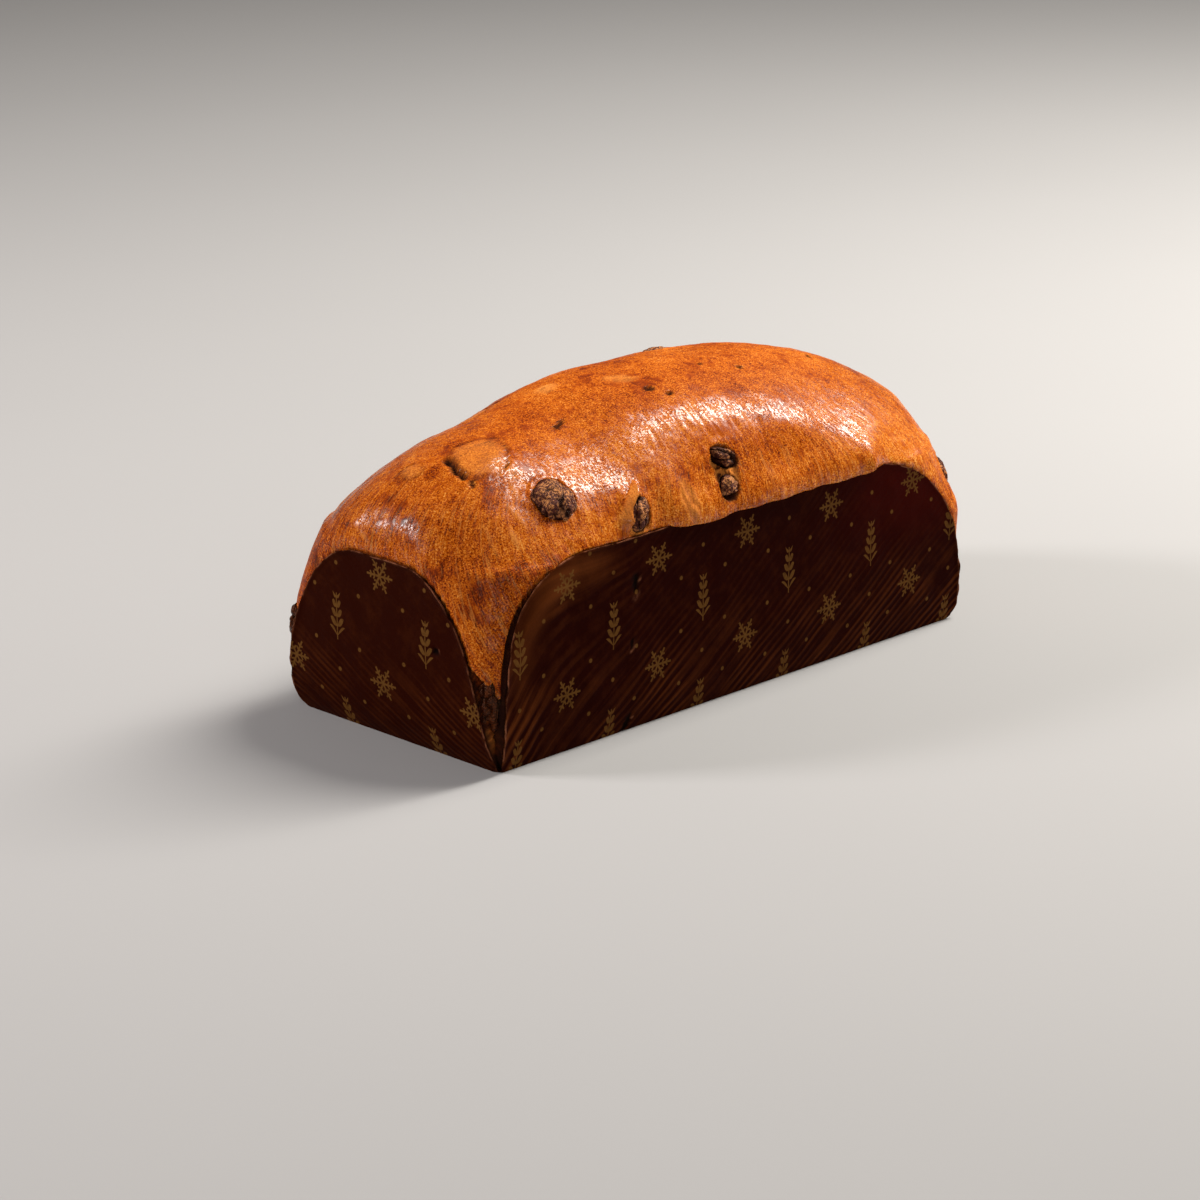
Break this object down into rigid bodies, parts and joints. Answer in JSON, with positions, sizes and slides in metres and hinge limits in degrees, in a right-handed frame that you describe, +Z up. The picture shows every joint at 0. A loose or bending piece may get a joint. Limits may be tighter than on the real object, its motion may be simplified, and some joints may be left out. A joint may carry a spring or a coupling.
{
  "type": "sweet fruit loaf in a paper baking case",
  "caption": "Long domed sweet fruit loaf with a glossy brown crust and dried fruit, standing in its dark folded paper baking case with four rounded flaps.",
  "frame": {"origin": "middle of the flat underside of the paper case, on the surface that the loaf stands on", "axes": "+X along the loaf towards its right end as seen from the front, -Y towards the front long side, +Z up"},
  "size_m": [0.2579, 0.1139, 0.1148],
  "materials": {
    "crust": "glossy golden brown baked crust, mottled and finely streaked",
    "case_paper": "dark brown smooth baking paper with dull gold print",
    "dried_fruit": "dark wrinkled dried fruit"
  },
  "bodies": {
    "root": {"loaf": "crust", "paper_case": "case_paper", "raisin_front_round": "dried_fruit", "raisin_split_upper": "dried_fruit", "raisin_split_lower": "dried_fruit", "raisin_paper_edge": "dried_fruit", "raisin_crown": "dried_fruit", "raisin_far_corner": "dried_fruit", "raisin_near_corner": "dried_fruit", "raisin_left_corner": "dried_fruit", "raisin_back_round": "dried_fruit", "raisin_back_long": "dried_fruit", "raisin_right_end": "dried_fruit"}
  },
  "joints": []
}
